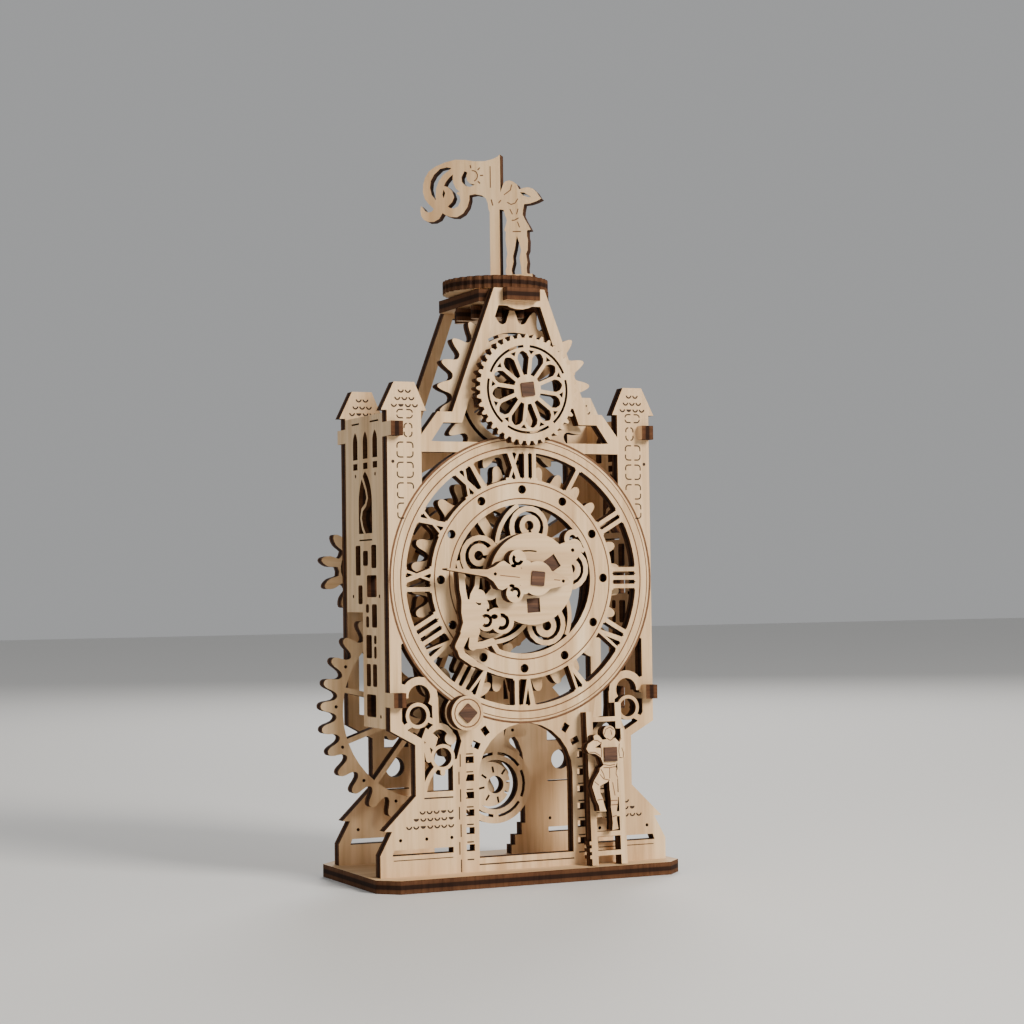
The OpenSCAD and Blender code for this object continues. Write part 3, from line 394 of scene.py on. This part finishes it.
def frame_marks(mesh, seat, y):
    for s in (-1, 1):
        x = s * TOWER_X
        for z in BRICK_HEIGHTS:
            brick(mesh, seat, x, z * MM, 3.9 * MM, 3.4 * MM, y)
        brick(mesh, seat, x, 107.9 * MM, 3.8 * MM, 1.9 * MM, y)
        brick(mesh, seat, x - s * 0.8 * MM, 104.2 * MM, 1.9 * MM, 3 * MM, y)
        for z, n in ROOF_ROWS:
            scale_row(mesh, seat, x, z * MM, n, y)
        for z, n, mid in FOOT_ROWS:
            scale_row(mesh, seat, s * mid * MM, z * MM, n, y)
        score_bar(mesh, seat((s * 22 * MM, 20.4 * MM), y), 7.2 * MM, 0.3 * MM)
        score_bar(mesh, seat((s * 25.9 * MM, 6.7 * MM), y), 14.6 * MM, 0.2 * MM)
        score_arc(mesh, seat((x + s * 3 * MM, 97 * MM), y), 0.2 * MM, 0, 360, 0.4 * MM)
        for z in ARCH_TICKS:
            score_bar(mesh, seat((s * 14.25 * MM, z * MM), y), 1.7 * MM, 0.3 * MM)
        for i, z in enumerate(ARCH_DASHES):
            jog = 0.35 * MM * (i % 2)
            score_bar(mesh, seat((s * (16.6 * MM + jog), z * MM), y, math.pi / 2),
                      2.9 * MM, 0.28 * MM)


marks = bmesh.new()
frame_marks(marks, facing_front, FRONT)
new_piece("front_frame_marks", marks, "tower", cut_char_and_shade)

rear_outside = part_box("rear_frame")[1][1]
marks = bmesh.new()
frame_marks(marks, facing_back, rear_outside)
new_piece("rear_frame_marks", marks, "tower", cut_char_and_shade)

# The rear frame's corner roofs show their scales towards the dial too.
rear_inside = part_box("rear_frame")[0][1]
marks = bmesh.new()
for s in (-1, 1):
    for z, n in ROOF_ROWS:
        scale_row(marks, facing_front, s * TOWER_X, z * MM, n, rear_inside)
new_piece("rear_frame_inner_scales", marks, "tower", cut_char_and_shade)

# The sill line in front of the gate.
sill = bmesh.new()
score_bar(sill, facing_front((0, 4.6 * MM), FRONT), 24.2 * MM, 0.3 * MM)
new_piece("gate_sill_line", sill, "tower", cut_char_and_shade)

# ---- Marks on the knob, hands and disc ---------------------------------
# A scored ring round the knob's bar, and two short strokes along the long
# pointer, which rests six degrees off level.
drive_x = -16 * MM
drive_z = 39.547 * MM
knob_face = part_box("winding_knob")[0][1]
knob = bmesh.new()
score_arc(knob, facing_front((drive_x, drive_z), knob_face), 3.2 * MM, 0, 360, 0.3 * MM)
new_piece("knob_scored_ring", knob, "drive", scored)

hand_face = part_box("minute_hand")[0][1]
hand = bmesh.new()
hand_lean = math.radians(-6)
for across, along, length in ((-0.2, -7, 5), (0.1, 5, 1.6)):
    spot = Vector((along * math.cos(hand_lean) * MM,
                   (DIAL_Z + along * math.sin(hand_lean) + across) * MM))
    score_bar(hand, facing_front(spot, hand_face, hand_lean), length * MM, 0.2 * MM)
new_piece("minute_hand_lines", hand, "minute", scored)

# ---- Scored lines on the flag and the figures --------------------------
# The sun on the flag, and the folds, belts and boots of the figures, are
# scored lightly; the lookout and climber sheets both stand at an angle.
DISC_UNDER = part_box("platform_disc")[0][2]
PLATFORM_Y = -1.4 * MM
flag_seat = (Matrix.Translation((0, PLATFORM_Y, DISC_UNDER))
             @ Matrix.Rotation(-flag_turn, 4, "Z")
             @ Matrix.Rotation(math.radians(90), 4, "X")
             @ Matrix.Translation((0, 0, PLY / 2)))
flag_back = (flag_seat @ Matrix.Translation((0, 0, -PLY))
             @ Matrix.Rotation(math.pi, 4, "Y"))


def stroke(mesh, seat, a, b, width=0.22, flip=1):
    a = Vector((flip * a[0] * MM, a[1] * MM, 0))
    b = Vector((flip * b[0] * MM, b[1] * MM, 0))
    run = b - a
    place = (seat @ Matrix.Translation((a + b) / 2)
             @ Matrix.Rotation(math.atan2(run.y, run.x), 4, "Z"))
    score_bar(mesh, place, run.length, width * MM)


def run_of_strokes(mesh, seat, points, width=0.22, flip=1):
    for a, b in zip(points, points[1:]):
        stroke(mesh, seat, a, b, width, flip)


SUN_X, SUN_Z = -4.9, 28.6
LOOKOUT_LINES = (
    ([(-0.45, 30.7), (-0.45, 25.5)], 0.24),
    ([(-0.3, 22.7), (0.1, 21.2)], 0.3),
    ([(1.5, 21.7), (2.1, 22.4)], 0.3),
    ([(2.9, 23.6), (4.5, 24.7), (4.8, 26)], 0.24),
    ([(3.6, 21.8), (4.6, 21.2), (5.6, 21.5), (6.3, 22.5)], 0.24),
    ([(4.3, 20.1), (4.9, 18.8)], 0.24),
    ([(6.3, 20.1), (5.9, 18.8)], 0.24),
    ([(4.7, 17.4), (5.4, 17.4), (6.4, 17.9)], 0.26),
    ([(6.1, 17), (6.6, 15.6)], 0.24),
    ([(4.9, 14.7), (6.9, 14.6)], 0.26),
)
flag_lines = bmesh.new()
for seat, flip, start in ((flag_seat, 1, -70), (flag_back, -1, 85)):
    sun = seat @ Matrix.Translation((flip * SUN_X * MM, SUN_Z * MM, 0))
    score_arc(flag_lines, sun, 1.3 * MM, start, 165, 0.26 * MM, 12)
    for a in (-45, 0, 45, 100):
        across, rise = math.cos(math.radians(a)), math.sin(math.radians(a))
        near = (SUN_X + 1.9 * across, SUN_Z + 1.9 * rise)
        far = (SUN_X + 2.7 * across, SUN_Z + 2.7 * rise)
        stroke(flag_lines, seat, near, far, 0.3, flip)
    for points, width in LOOKOUT_LINES:
        run_of_strokes(flag_lines, seat, points, width, flip)
new_piece("flag_and_lookout_lines", flag_lines, "platform", scored)

# The climber's lines are drawn about the peg in the back, on the outer face.
ladder_top = 40.5 * MM
peg_x = 18.5 * MM
peg_z = 28.5 * MM
climber_seat = (Matrix.Translation((0, FRONT, ladder_top))
                @ Matrix.Rotation(-lean_back, 4, "X")
                @ Matrix.Translation((peg_x, -2 * PLY, peg_z - ladder_top))
                @ Matrix.Rotation(math.radians(90), 4, "X"))
climber_lines = bmesh.new()
CLIMBER_LINES = (
    [(-1.3, 4.6), (-0.9, 5.8), (0.3, 6.3), (1.2, 5.6)],
    [(-0.7, 3.7), (0.2, 3.2), (1, 3.6)],
    [(0.4, 5.6), (0.7, 4.4)],
    [(-1.8, -2.3), (-0.3, -2.6), (1.2, -2.4)],
    [(-1.9, -3), (-0.2, -3.1), (1.3, -2.9)],
    [(-0.3, -3.1), (-0.4, -5.6)],
    [(-2.6, -3.3), (-1.9, -4.6), (-1.8, -5.5)],
    [(1.5, -3.4), (1.3, -4.6), (1.7, -5.5)],
    [(-2.9, -4.5), (-2, -5.6), (-0.4, -6)],
    [(-4.4, -6.1), (-3.3, -7)],
    [(-3.9, -10.4), (-2.5, -10.3)],
    [(-0.4, -10.7), (1.4, -10.7)],
    [(-0.3, -11.7), (1.3, -11.7)],
    [(0.3, -6.5), (0.8, -9.6)],
    [(-0.1, -14.4), (1, -14.2)],
    [(-2.4, 2.4), (-2.2, 0.6), (-2.3, -0.6)],
    [(2.5, 2.4), (2.3, 0.6), (2.4, -0.6)],
    [(-5.4, 0.7), (-3.9, 0.6), (-2.6, -0.2)],
    [(-4.1, 3.4), (-3.1, 3.3), (-2.3, 2.7)],
    [(2.5, 2.8), (3.1, 3.6)],
    [(3.1, 1.4), (3.5, 0.2), (3.4, -0.8)],
)
for line in CLIMBER_LINES:
    run_of_strokes(climber_lines, climber_seat, line, 0.2)
new_piece("climber_lines", climber_lines, "tower", scored)

# ---- Floor and light ----------------------------------------------------
# A pale, flat table top, and three large soft lights.
floor = bmesh.new()
bmesh.ops.create_grid(floor, x_segments=1, y_segments=1, size=3)
floor_data = bpy.data.meshes.new("floor")
floor.to_mesh(floor_data)
floor.free()
floor_piece = bpy.data.objects.new("floor", floor_data)
bpy.context.scene.collection.objects.link(floor_piece)
pale = bpy.data.materials.new("pale_floor")
pale.use_nodes = True
pale_shader = pale.node_tree.nodes["Principled BSDF"]
pale_shader.inputs["Base Color"].default_value = (0.72, 0.71, 0.69, 1)
pale_shader.inputs["Roughness"].default_value = 0.7
floor_data.materials.append(pale)

world = bpy.data.worlds.new("studio")
world.use_nodes = True
sky = world.node_tree.nodes["Background"]
sky.inputs["Color"].default_value = (0.88, 0.89, 0.90, 1)
sky.inputs["Strength"].default_value = 0.42
bpy.context.scene.world = world


def soft_light(name, place, target, size, power, tint):
    lamp = bpy.data.lights.new(name, "AREA")
    lamp.shape = "DISK"
    lamp.size = size
    lamp.energy = power
    lamp.color = tint
    holder = bpy.data.objects.new(name, lamp)
    bpy.context.scene.collection.objects.link(holder)
    aim = Vector(target) - Vector(place)
    holder.matrix_world = (Matrix.Translation(place)
                           @ aim.to_track_quat("-Z", "Y").to_matrix().to_4x4())


soft_light("key", (0.34, -0.8, 0.5), (0, 0, 0.08), 0.34, 13.0, (1, 0.95, 0.88))
soft_light("left_fill", (-0.9, -0.5, 0.3), (0, 0, 0.08), 0.6, 1.2, (0.9, 0.95, 1))
soft_light("back_rim", (0.4, 0.7, 0.6), (0, 0, 0.1), 0.4, 4.0, (1, 0.98, 0.95))
